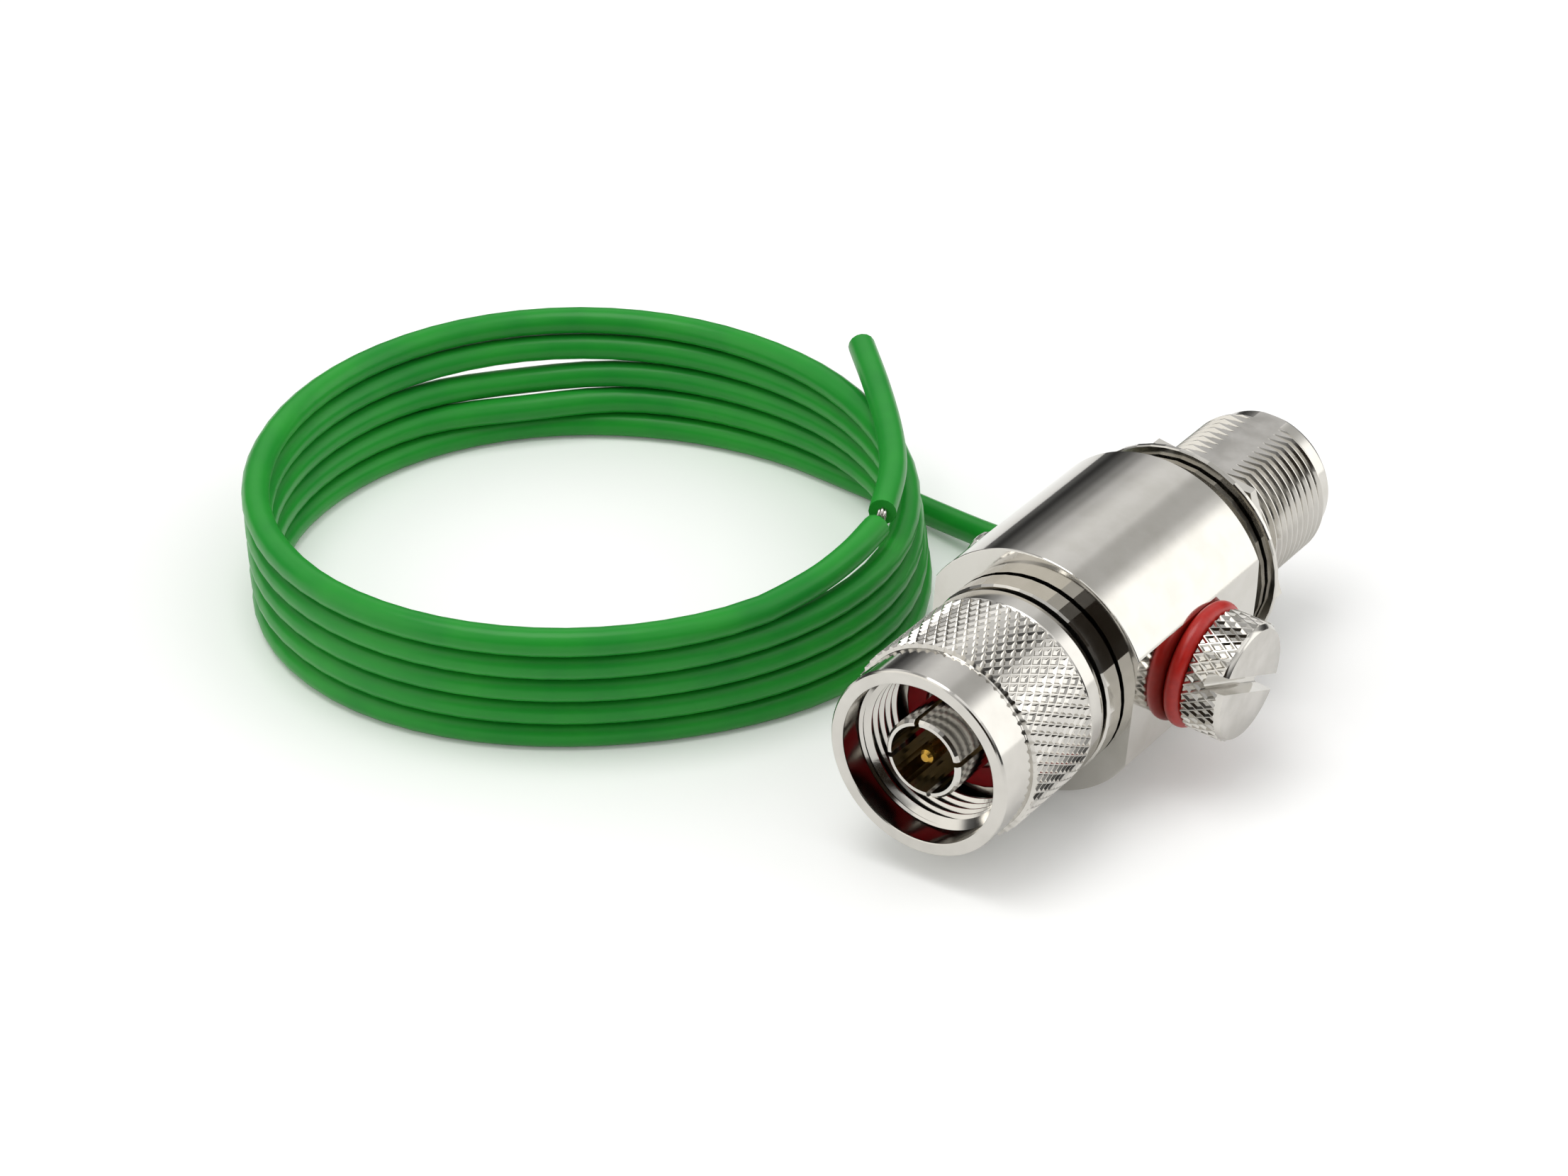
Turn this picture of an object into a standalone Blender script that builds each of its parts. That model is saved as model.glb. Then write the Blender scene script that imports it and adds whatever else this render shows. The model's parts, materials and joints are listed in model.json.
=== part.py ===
"""Coaxial lightning arrestor with its coiled ground wire.

Lengths are in millimetres and are scaled to metres when a mesh is made.
Stations called FRONT, REAR or X are measured along the connector from the
coupling nut's front face. Heights called T are measured outward from the
connector's axis, along the gas tube cap or along the ground screw.
"""
import math

import bmesh
import bpy
from mathutils import Matrix, Vector

MM = 0.001
NAME = "coax_lightning_arrestor"

# Clearance between pieces that touch
FIT = 0.3

# Body and jack barrel, one piece of metal
LENGTH = 64.64
BODY_RADIUS = 12.7
BODY_FRONT = 19.54
BODY_REAR = 42.57
BODY_CONE_RUN = 0.56
BODY_CONE_RADIUS = 11.3
FLAT_OFFSET = 11.21
ROLL = math.radians(4.64)
BARREL_RADIUS = 7.94
BARREL_THREAD_END = 61.9
THREAD_PITCH = 25.4 / 24
THREAD_DEPTH = 0.65
BARREL_END_RADIUS = 7.07
BARREL_END_CHAMFER = 0.3
D_FLAT_OFFSET = 7.08
LINE_BORE_RADIUS = 3.5
JACK_BORE_RADIUS = 4.25
JACK_BORE_DEPTH = 9.2

# Plug shell
SHELL_RADIUS = 7.0
CONTACT_FRONT = 0.93
CONTACT_RADIUS = 0.576 * SHELL_RADIUS
CONTACT_WALL = 0.58
CONTACT_CHAMFER = 0.25
CONTACT_SLOT_WIDTH = 0.5
CONTACT_SLOT_DEPTH = 7.4
CONTACT_SLOT_TURN = math.radians(-11.5)
SLOT_COUNT = 4
SHELL_NECK_RADIUS = 0.664 * SHELL_RADIUS
SHELL_NECK_FRONT = 8.9
SHELL_SHOULDER = 10.3
COLLAR_FRONT = 17.04
COLLAR_CHAMFER = 0.2
SPIGOT_RADIUS = 6.5
SPIGOT_DEPTH = 4.5

# Snap ring that holds the nut, and the plug's gasket
RING_FRONT = 12.0
RING_WIDTH = 0.8
RING_WALL = 1.0
RING_GROOVE_DEPTH = 0.85
RING_MOUTH_ANGLE = math.radians(24)
GASKET_WIDTH = 1.0

# Coupling nut
NUT_THREAD_CLEARANCE = 0.4
NUT_THREAD_DEPTH = 0.78
NUT_MOUTH_WALL = 1.4
NUT_KNURL_RISE = 0.57
NUT_REAR_BAND_DROP = 0.1
NUT_REAR_DROP = 0.45
NUT_RELIEF = 0.7
NUT_GAP = 0.34
NUT_BAND_END = 4.3
NUT_KNURL_FRONT = 4.75
NUT_KNURL_REAR = 13.85
NUT_KNURL_ROWS = 10
NUT_KNURL_COLUMNS = 60
NUT_KNURL_DEPTH = 0.34
NUT_CHAMFER = 0.25
NUT_MOUTH_DEPTH = 2.9
NUT_THREAD_END = 8.3

# Centre line
PIN_TIP = 1.2
PIN_RADIUS = 0.82
ROD_RADIUS = 1.5
PLUG_INSULATOR_FRONT = 8.9
JACK_INSULATOR_LENGTH = 9.0
SOCKET_RADIUS = 1.52
SOCKET_BORE_RADIUS = 0.86
SOCKET_RECESS = 5.2
SOCKET_BORE_DEPTH = 6.8
SOCKET_SLOT_WIDTH = 0.3
SOCKET_SLOT_DEPTH = 4.6

# Gas tube, standing across the line under the cap
CAP_X = 31.18
TUBE_RADIUS = 4.0
ELECTRODE_THICKNESS = 1.0
ELECTRODE_BOSS_RADIUS = 2.0
ELECTRODE_BOSS_HEIGHT = 0.9
CERAMIC_LENGTH = 3.4
CERAMIC_BORE_RADIUS = 2.6
WELL_RADIUS = 4.8

# Cap, its seal and its contact spring
SEAL_OUTER_RADIUS = 6.37
CAP_SEAT_T = 13.05
CAP_END_T = 17.32
CAP_KNURL_END_T = 16.55
CAP_CREST_RADIUS = 6.02
CAP_FACE_RADIUS = 5.6
CAP_CHAMFER = 0.3
CAP_KNURL_ROWS = 6
CAP_KNURL_COLUMNS = 44
CAP_KNURL_DEPTH = 0.3
CAP_SLOT_WIDTH = 1.66
CAP_SLOT_DEPTH = 2.1
CAP_SLOT_ANGLE = math.radians(-25)
SPRING_WIRE_RADIUS = 0.22
SPRING_TURNS = 3.5
SPRING_RADIUS = 2.6
STEM_CUP_RADIUS = 3.3

# Panel hardware on the barrel
LOCK_WASHER_THICKNESS = 0.6
LOCK_WASHER_RADIUS = 10.4
LOCK_WASHER_RIM_RADIUS = 9.3
LOCK_WASHER_TEETH = 12
WASHER_FRONT = 46.24
WASHER_THICKNESS = 0.6
WASHER_RADIUS = 11.45
WASHER_EDGE = 0.12
HEX_REAR = 48.6
HEX_CORNER_RADIUS = 11.15
HEX_CHAMFER_RADIUS = 9.8
HEX_CHAMFER_RUN = 0.55
HEX_TURN = math.radians(71.4)

# Ground screw, spring washer and ring terminal
SCREW_X = 32.5
SCREW_HEAD_RADIUS = 3.0
SCREW_HEAD_HEIGHT = 1.85
SCREW_SHANK_RADIUS = 1.35
SCREW_SHANK_DEPTH = 5.4
SCREW_SLOT_WIDTH = 0.8
SCREW_SLOT_DEPTH = 0.75
SPRING_WASHER_RADIUS = 2.7
SPRING_WASHER_THICKNESS = 0.4
SPRING_WASHER_MOUTH = 0.5
TERMINAL_THICKNESS = 0.7
TERMINAL_RING_RADIUS = 3.15
TERMINAL_NECK_WIDTH = 2.8
TERMINAL_ANGLE = math.radians(27)
CRIMP_RADIUS = 1.7
CRIMP_START = 4.9
CRIMP_LENGTH = 4.8

# Ground wire
WIRE_RADIUS = 1.42
COIL_LAYERS = 5
COIL_RADIUS = 32.47
COIL_CENTRE = (25.85, 56.93)
COIL_VALLEY = 0.55
COIL_LEAD_ANGLE = math.radians(-13)
COIL_LEAD_SWEEP = math.radians(26)
COIL_TAIL_ANGLE = math.radians(249)
STRAND_RADIUS = 0.45
WIRE_LIFT = 0.04
LEAD_ROUTE = ((47.2, 14.6, 6.3), (50.6, 18.2, 4.3), (53.2, 26.3, 2.6))
LEAD_LANDING = (55.4, 34.6)
FREE_END_ROUTE = ((18.24, 25.92, 13.1), (22.6, 25.33, 13.2), (27.61, 25.33, 13.4), (32.53, 25.98, 13.5))
SLUG_ROUTE = ((33.81, 26.12, 14.6), (40.66, 29.43, 14.9), (46.42, 33.53, 15.2),
              (53.2, 39.5, 15.5), (59.8, 45.9, 15.8))

# Mesh fineness
BODY_STEPS = 52
SHELL_STEPS = 44
SMALL_STEPS = 28
FINE_STEPS = 20
COIL_STEPS = 48
SHARP_ANGLE = math.radians(32)

# Values that follow from the ones above
CONTACT_BORE_RADIUS = CONTACT_RADIUS - CONTACT_WALL
NUT_THREAD_RADIUS = SHELL_RADIUS + NUT_THREAD_CLEARANCE
NUT_MOUTH_RADIUS = NUT_THREAD_RADIUS + NUT_THREAD_DEPTH
NUT_RELIEF_RADIUS = NUT_THREAD_RADIUS + NUT_RELIEF
NUT_FRONT_RADIUS = NUT_MOUTH_RADIUS + NUT_MOUTH_WALL
NUT_CREST_RADIUS = NUT_FRONT_RADIUS + NUT_KNURL_RISE
NUT_REAR_BAND_RADIUS = NUT_CREST_RADIUS - NUT_REAR_BAND_DROP
NUT_REAR_RADIUS = NUT_CREST_RADIUS - NUT_REAR_DROP
COLLAR_RADIUS = NUT_CREST_RADIUS
SHELL_REAR = BODY_FRONT + SPIGOT_DEPTH
SOCKET_FRONT = LENGTH - SOCKET_RECESS
JACK_SHOULDER = LENGTH - JACK_BORE_DEPTH
NUT_REAR = COLLAR_FRONT - NUT_GAP
STEM_RADIUS = WELL_RADIUS - FIT
TUBE_T = ROD_RADIUS + FIT
CERAMIC_T = TUBE_T + ELECTRODE_THICKNESS + FIT
OUTER_ELECTRODE_T = CERAMIC_T + CERAMIC_LENGTH + FIT
TUBE_END_T = OUTER_ELECTRODE_T + ELECTRODE_THICKNESS
STEM_T = TUBE_END_T + 2 * FIT
TERMINAL_T = FLAT_OFFSET + FIT
SPRING_WASHER_T = TERMINAL_T + TERMINAL_THICKNESS + FIT
SCREW_SEAT_T = SPRING_WASHER_T + SPRING_WASHER_THICKNESS + FIT
LOCK_WASHER_FRONT = WASHER_FRONT - FIT - LOCK_WASHER_THICKNESS
HEX_FRONT = WASHER_FRONT + WASHER_THICKNESS + FIT
BORE_RADIUS = BARREL_RADIUS + FIT
CUT_MARGIN = 2.0

COLOURS = {
    "nickel": ((0.60, 0.585, 0.56), 0.16, 1.0),
    "satin_nickel": ((0.56, 0.55, 0.53), 0.34, 1.0),
    "gold": ((0.86, 0.60, 0.24), 0.22, 1.0),
    "steel": ((0.52, 0.51, 0.49), 0.3, 1.0),
    "tin": ((0.66, 0.65, 0.63), 0.28, 1.0),
    "red_rubber": ((0.45, 0.012, 0.012), 0.42, 0.0),
    "orange_rubber": ((0.56, 0.03, 0.012), 0.4, 0.0),
    "white_plastic": ((0.82, 0.81, 0.77), 0.45, 0.0),
    "ceramic": ((0.78, 0.77, 0.72), 0.3, 0.0),
    "green_plastic": ((0.035, 0.29, 0.06), 0.36, 0.0),
}

rigid_nodes = []
cord_nodes = []


def material_for(node_name, finish):
    """Give one node its own Principled material."""
    colour, roughness, metallic = COLOURS[finish]
    made = bpy.data.materials.new(node_name + "_" + finish)
    made.use_nodes = True
    shader = made.node_tree.nodes["Principled BSDF"]
    shader.inputs["Base Color"].default_value = (*colour, 1.0)
    shader.inputs["Roughness"].default_value = roughness
    shader.inputs["Metallic"].default_value = metallic
    made.diffuse_color = (*colour, 1.0)
    return made


def axis_frame(origin, along, across):
    """Frame whose local z runs along an axis and whose local x is across it."""
    up = along.cross(across)
    frame = Matrix.Identity(4)
    for column, direction in enumerate((across, up, along)):
        for row in range(3):
            frame[row][column] = direction[row]
    frame.translation = origin * MM
    return frame


AXIS_HEIGHT = BODY_RADIUS
FLAT_NORMAL = Vector((0.0, math.cos(ROLL), math.sin(ROLL)))
LINE = axis_frame(Vector((0, 0, AXIS_HEIGHT)), Vector((1, 0, 0)), Vector((0, 1, 0)))
CAP = axis_frame(Vector((CAP_X, 0, AXIS_HEIGHT)), -FLAT_NORMAL, Vector((1, 0, 0)))
SCREW = axis_frame(Vector((SCREW_X, 0, AXIS_HEIGHT)), FLAT_NORMAL, Vector((1, 0, 0)))
WORLD = Matrix.Identity(4)
COIL = axis_frame(Vector((*COIL_CENTRE, 0)), Vector((0, 0, 1)), Vector((1, 0, 0)))


def collection(label, hidden):
    """Collection for the object's nodes, or a hidden one for the cutters."""
    made = bpy.data.collections.new(label)
    bpy.context.scene.collection.children.link(made)
    made.hide_render = hidden
    return made


def bake(source):
    """Mesh of an object with its modifiers applied and its seams merged."""
    depsgraph = bpy.context.evaluated_depsgraph_get()
    mesh = bpy.data.meshes.new_from_object(source.evaluated_get(depsgraph))
    data = source.data
    kind = source.type
    bpy.data.objects.remove(source)
    if kind == "MESH":
        bpy.data.meshes.remove(data)
    else:
        bpy.data.curves.remove(data)
    work = bmesh.new()
    work.from_mesh(mesh)
    bmesh.ops.remove_doubles(work, verts=work.verts, dist=1e-7)
    bmesh.ops.recalc_face_normals(work, faces=work.faces)
    work.to_mesh(mesh)
    work.free()
    return mesh


def place(mesh, name, frame):
    """Put a mesh at a frame, with its origin on the frame's axis."""
    turn = frame.to_3x3().to_4x4()
    mesh.transform(turn)
    mesh.name = name
    made = bpy.data.objects.new(name, mesh)
    made.location = frame.translation
    return made


def add_node(made, finish, cord=False):
    """File a finished piece as a node and shade its round faces smooth."""
    made.data.materials.clear()
    made.data.materials.append(material_for(made.name, finish))
    for face in made.data.polygons:
        face.use_smooth = True
    made.data.set_sharp_from_angle(angle=SHARP_ANGLE)
    nodes.objects.link(made)
    (cord_nodes if cord else rigid_nodes).append(made)
    return made


def add_cutter(made):
    """File a cutting shape."""
    made.display_type = "WIRE"
    made.hide_render = True
    cutters.objects.link(made)
    return made


def boolean(target, tool, operation="DIFFERENCE"):
    """Cut, join or trim a piece with another shape."""
    step = target.modifiers.new(tool.name, "BOOLEAN")
    step.operation = operation
    step.solver = "EXACT"
    step.object = tool


def turned_mesh(profile, steps, closed, sweep=math.tau):
    """Turn a profile of (radius, station) points about local z."""
    mesh = bpy.data.meshes.new("profile")
    corners = [(radius * MM, 0.0, station * MM) for radius, station in profile]
    last = len(corners)
    edges = [(i, i + 1) for i in range(last - 1)]
    if closed:
        edges.append((last - 1, 0))
    mesh.from_pydata(corners, edges, [])
    source = bpy.data.objects.new("profile", mesh)
    bpy.context.scene.collection.objects.link(source)
    screw = source.modifiers.new("turn", "SCREW")
    screw.axis = "Z"
    screw.angle = sweep
    screw.steps = steps
    screw.render_steps = steps
    screw.use_merge_vertices = True
    screw.merge_threshold = 1e-6
    return bake(source)


def turned(name, profile, frame, steps, closed=True):
    """Turned piece at a frame."""
    return place(turned_mesh(profile, steps, closed), name, frame)


def sheet(name, outlines, station, thickness, frame):
    """Flat piece cut from sheet: closed outlines extruded along local z."""
    curve = bpy.data.curves.new(name, "CURVE")
    curve.dimensions = "2D"
    curve.fill_mode = "BOTH"
    curve.extrude = thickness * MM / 2
    for outline in outlines:
        spline = curve.splines.new("POLY")
        spline.points.add(len(outline) - 1)
        for point, (x, y) in zip(spline.points, outline):
            point.co = (x * MM, y * MM, 0.0, 1.0)
        spline.use_cyclic_u = True
    source = bpy.data.objects.new(name, curve)
    bpy.context.scene.collection.objects.link(source)
    mesh = bake(source)
    mesh.transform(Matrix.Translation((0, 0, (station + thickness / 2) * MM)))
    return place(mesh, name, frame)


def tube(name, points, radius, frame, resolution=2):
    """Round wire along points, with flat closed ends."""
    curve = bpy.data.curves.new(name, "CURVE")
    curve.dimensions = "3D"
    curve.bevel_depth = radius * MM
    curve.bevel_resolution = resolution
    curve.use_fill_caps = True
    spline = curve.splines.new("POLY")
    spline.points.add(len(points) - 1)
    for point, where in zip(spline.points, points):
        point.co = (*(Vector(where) * MM), 1.0)
    source = bpy.data.objects.new(name, curve)
    bpy.context.scene.collection.objects.link(source)
    return place(bake(source), name, frame)


def box(name, low, high, frame, turn=0.0):
    """Box between two local corners, turned about local z."""
    mesh = bpy.data.meshes.new(name)
    work = bmesh.new()
    bmesh.ops.create_cube(work, size=1.0)
    low = Vector(low) * MM
    high = Vector(high) * MM
    size = Matrix.Diagonal((*(high - low), 1.0))
    work.transform(Matrix.Rotation(turn, 4, "Z") @ Matrix.Translation((low + high) / 2) @ size)
    work.to_mesh(mesh)
    work.free()
    return place(mesh, name, frame)


def arc(radius, start, stop, count):
    """Points on an arc about local z."""
    turns = [start + (stop - start) * i / count for i in range(count + 1)]
    return [(radius * math.cos(turn), radius * math.sin(turn)) for turn in turns]


def circle(radius, count):
    """Closed outline of a circle."""
    return arc(radius, 0.0, math.tau, count)[:-1]


def smooth_route(route, spacing):
    """Even points on a Catmull-Rom curve through hand-chosen route points."""
    route = [Vector(point) for point in route]
    ends = [2 * route[0] - route[1], *route, 2 * route[-1] - route[-2]]
    fine = []
    for before, start, stop, after in zip(ends, ends[1:], ends[2:], ends[3:]):
        for step in range(24):
            s = step / 24
            fine.append(0.5 * (2 * start + (stop - before) * s
                               + (2 * before - 5 * start + 4 * stop - after) * s ** 2
                               + (3 * start - before - 3 * stop + after) * s ** 3))
    fine.append(route[-1])
    total = sum((b - a).length for a, b in zip(fine, fine[1:]))
    count = max(2, round(total / spacing))
    points = [fine[0]]
    run = 0.0
    for a, b in zip(fine, fine[1:]):
        length = (b - a).length
        while len(points) < count and run + length >= total * len(points) / count:
            share = (total * len(points) / count - run) / length
            points.append(a.lerp(b, share))
        run += length
    points.append(fine[-1])
    return points


def knurl_band(first, last, rows, crest):
    """Profile points of a knurl band, from its first station to its last."""
    return [(crest, first + (last - first) * i / rows) for i in range(rows + 1)]


def knurl(mesh, first, last, rows, columns, depth):
    """Press a diamond knurl of pits and crossing ridges into the rings of a turned band."""
    work = bmesh.new()
    work.from_mesh(mesh)
    spacing = (last - first) / rows
    outer = max(math.hypot(vertex.co.x, vertex.co.y) for vertex in work.verts)
    low = set()
    band = set()
    for vertex in work.verts:
        row = (vertex.co.z / MM - first) / spacing
        near = abs(row - round(row)) < 0.01 and -0.01 < row < rows + 0.01
        if not near or math.hypot(vertex.co.x, vertex.co.y) < outer - 0.001 * MM:
            continue
        column = round(math.atan2(vertex.co.y, vertex.co.x) / math.tau * columns)
        band.add(vertex)
        if (column + round(row)) % 2:
            low.add(vertex)
    root = 1.0 - depth * MM / outer
    for face in list(work.faces):
        corners = list(face.verts)
        if len(corners) == 4 and all(corner in band for corner in corners):
            pair = [corner for corner in corners if corner not in low]
            bmesh.utils.face_split(face, *pair)
    for vertex in band:
        row = round((vertex.co.z / MM - first) / spacing)
        if vertex in low or row in (0, rows):
            vertex.co.x *= root
            vertex.co.y *= root
    work.to_mesh(mesh)
    work.free()


def coupling_nut():
    """Knurled nut that turns freely on the plug."""
    ring_room = RING_FRONT - FIT
    ring_room_end = RING_FRONT + RING_WIDTH + FIT
    relief_end = SHELL_SHOULDER + FIT
    lip_radius = SHELL_RADIUS + FIT
    profile = [
        (lip_radius, NUT_REAR),
        (NUT_REAR_RADIUS, NUT_REAR),
        (NUT_REAR_BAND_RADIUS, NUT_REAR - 2 * NUT_CHAMFER),
        (NUT_REAR_BAND_RADIUS, NUT_KNURL_REAR + NUT_CHAMFER),
        *reversed(knurl_band(NUT_KNURL_FRONT, NUT_KNURL_REAR, NUT_KNURL_ROWS, NUT_CREST_RADIUS)),
        (NUT_FRONT_RADIUS, NUT_BAND_END),
        (NUT_FRONT_RADIUS, NUT_CHAMFER),
        (NUT_FRONT_RADIUS - NUT_CHAMFER, 0.0),
        (NUT_MOUTH_RADIUS, 0.0),
        (NUT_MOUTH_RADIUS, NUT_MOUTH_DEPTH),
        (NUT_THREAD_RADIUS, NUT_MOUTH_DEPTH + NUT_MOUTH_RADIUS - NUT_THREAD_RADIUS),
        (NUT_THREAD_RADIUS, NUT_THREAD_END),
        (NUT_RELIEF_RADIUS, NUT_THREAD_END),
        (NUT_RELIEF_RADIUS, relief_end),
        (lip_radius + FIT, relief_end),
        (lip_radius + FIT, ring_room),
        (NUT_RELIEF_RADIUS, ring_room),
        (NUT_RELIEF_RADIUS, ring_room_end),
        (lip_radius, ring_room_end),
    ]
    mesh = turned_mesh(profile, NUT_KNURL_COLUMNS, True)
    knurl(mesh, NUT_KNURL_FRONT, NUT_KNURL_REAR, NUT_KNURL_ROWS, NUT_KNURL_COLUMNS, NUT_KNURL_DEPTH)
    add_node(place(mesh, "coupling_nut", LINE), "nickel")


def plug():
    """Fixed half of the plug: shell, ring, gasket, insulator and pin."""
    groove_radius = SHELL_RADIUS - RING_GROOVE_DEPTH
    collar_rear = BODY_FRONT - FIT
    spigot_rear = SHELL_REAR - FIT
    shell = turned("plug_shell", [
        (CONTACT_BORE_RADIUS, spigot_rear),
        (SPIGOT_RADIUS, spigot_rear),
        (SPIGOT_RADIUS, collar_rear),
        (COLLAR_RADIUS, collar_rear),
        (COLLAR_RADIUS, COLLAR_FRONT + COLLAR_CHAMFER),
        (COLLAR_RADIUS - COLLAR_CHAMFER, COLLAR_FRONT),
        (SHELL_RADIUS, COLLAR_FRONT),
        (SHELL_RADIUS, RING_FRONT + RING_WIDTH + FIT),
        (groove_radius, RING_FRONT + RING_WIDTH + FIT),
        (groove_radius, RING_FRONT - FIT),
        (SHELL_RADIUS, RING_FRONT - FIT),
        (SHELL_RADIUS, SHELL_SHOULDER),
        (SHELL_NECK_RADIUS, SHELL_SHOULDER),
        (SHELL_NECK_RADIUS, SHELL_NECK_FRONT),
        (CONTACT_RADIUS, SHELL_NECK_FRONT),
        (CONTACT_RADIUS, CONTACT_FRONT + CONTACT_CHAMFER),
        (CONTACT_RADIUS - CONTACT_CHAMFER, CONTACT_FRONT),
        (CONTACT_BORE_RADIUS, CONTACT_FRONT),
    ], LINE, SHELL_STEPS)
    add_node(shell, "nickel")
    for index in range(SLOT_COUNT // 2):
        slot = box(
            "contact_slot_cutter_%d" % (index + 1),
            (-CONTACT_RADIUS - CUT_MARGIN, -CONTACT_SLOT_WIDTH / 2, CONTACT_FRONT - CUT_MARGIN),
            (CONTACT_RADIUS + CUT_MARGIN, CONTACT_SLOT_WIDTH / 2, CONTACT_FRONT + CONTACT_SLOT_DEPTH),
            LINE, CONTACT_SLOT_TURN + index * math.tau / SLOT_COUNT)
        boolean(shell, add_cutter(slot))

    inner = groove_radius + FIT
    mouth = RING_MOUTH_ANGLE / 2
    outline = arc(inner + RING_WALL, mouth, math.tau - mouth, SMALL_STEPS)
    outline += reversed(arc(inner, mouth, math.tau - mouth, SMALL_STEPS))
    add_node(sheet("nut_snap_ring", [outline], RING_FRONT, RING_WIDTH, LINE), "steel")

    gasket_rear = SHELL_SHOULDER - FIT
    gasket_front = gasket_rear - GASKET_WIDTH
    gasket_inner = SHELL_NECK_RADIUS + FIT
    gasket_outer = SHELL_RADIUS + FIT / 2
    add_node(turned("plug_gasket", [
        (gasket_inner, gasket_rear),
        (gasket_outer, gasket_rear),
        (gasket_outer, gasket_front + FIT),
        (gasket_outer - FIT, gasket_front),
        (gasket_inner, gasket_front),
    ], LINE, SMALL_STEPS), "red_rubber")

    insulator_radius = CONTACT_BORE_RADIUS - FIT
    insulator_bore = PIN_RADIUS + FIT
    add_node(turned("plug_insulator", [
        (insulator_bore, SHELL_REAR - FIT),
        (insulator_radius, SHELL_REAR - FIT),
        (insulator_radius, PLUG_INSULATOR_FRONT),
        (insulator_bore, PLUG_INSULATOR_FRONT),
    ], LINE, FINE_STEPS), "white_plastic")

    add_node(turned("plug_pin", [
        (0.0, SHELL_REAR),
        (PIN_RADIUS, SHELL_REAR),
        (PIN_RADIUS, PIN_TIP + PIN_RADIUS),
        (PIN_RADIUS * 0.87, PIN_TIP + PIN_RADIUS * 0.5),
        (PIN_RADIUS * 0.5, PIN_TIP + PIN_RADIUS * 0.13),
        (0.0, PIN_TIP),
    ], LINE, FINE_STEPS, closed=False), "gold")


def body():
    """Round body with two flats, the gas tube well and the jack barrel."""
    spigot_bore = SPIGOT_RADIUS + FIT
    thread_start = BODY_REAR + 2 * FIT
    threads = int((BARREL_THREAD_END - thread_start) / THREAD_PITCH)
    ridges = []
    for index in range(threads):
        middle = BARREL_THREAD_END - (index + 0.5) * THREAD_PITCH
        ridges += [(BARREL_RADIUS - THREAD_DEPTH, middle + THREAD_PITCH / 2), (BARREL_RADIUS, middle)]
    made = turned("body", [
        (JACK_BORE_RADIUS, LENGTH),
        (BARREL_END_RADIUS - BARREL_END_CHAMFER, LENGTH),
        (BARREL_END_RADIUS, LENGTH - BARREL_END_CHAMFER),
        (BARREL_END_RADIUS, BARREL_THREAD_END + THREAD_PITCH / 4),
        *ridges,
        (BARREL_RADIUS - THREAD_DEPTH, thread_start + THREAD_PITCH / 2),
        (BARREL_RADIUS, thread_start),
        (BARREL_RADIUS, BODY_REAR),
        (BODY_CONE_RADIUS, BODY_REAR),
        (BODY_RADIUS, BODY_REAR - BODY_CONE_RUN),
        (BODY_RADIUS, BODY_FRONT),
        (spigot_bore, BODY_FRONT),
        (spigot_bore, SHELL_REAR),
        (LINE_BORE_RADIUS, SHELL_REAR),
        (LINE_BORE_RADIUS, JACK_SHOULDER),
        (JACK_BORE_RADIUS, JACK_SHOULDER),
    ], LINE, BODY_STEPS)
    add_node(made, "nickel")

    reach = BODY_RADIUS + CUT_MARGIN
    ahead = BODY_FRONT - CAP_X - CUT_MARGIN
    behind = BODY_REAR - CAP_X + CUT_MARGIN
    for name, frame, shift in (("near", CAP, 0.0), ("far", SCREW, CAP_X - SCREW_X)):
        flat = box("%s_flat_cutter" % name, (ahead + shift, -reach, FLAT_OFFSET),
                   (behind + shift, reach, reach), frame)
        boolean(made, add_cutter(flat))
    d_flat = box("d_flat_cutter", (-reach, D_FLAT_OFFSET, BODY_REAR + FIT),
                 (reach, reach, LENGTH + CUT_MARGIN), LINE, ROLL)
    boolean(made, add_cutter(d_flat))
    well = turned("well_cutter", [
        (0.0, reach),
        (WELL_RADIUS, reach),
        (WELL_RADIUS, ROD_RADIUS),
        (0.0, ROD_RADIUS),
    ], CAP, SMALL_STEPS, closed=False)
    boolean(made, add_cutter(well))
    hole_radius = SCREW_SHANK_RADIUS + FIT
    hole = turned("screw_hole_cutter", [
        (0.0, reach),
        (hole_radius, reach),
        (hole_radius, FLAT_OFFSET - SCREW_SHANK_DEPTH - FIT),
        (0.0, FLAT_OFFSET - SCREW_SHANK_DEPTH - 2 * FIT),
    ], SCREW, FINE_STEPS, closed=False)
    boolean(made, add_cutter(hole))


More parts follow.
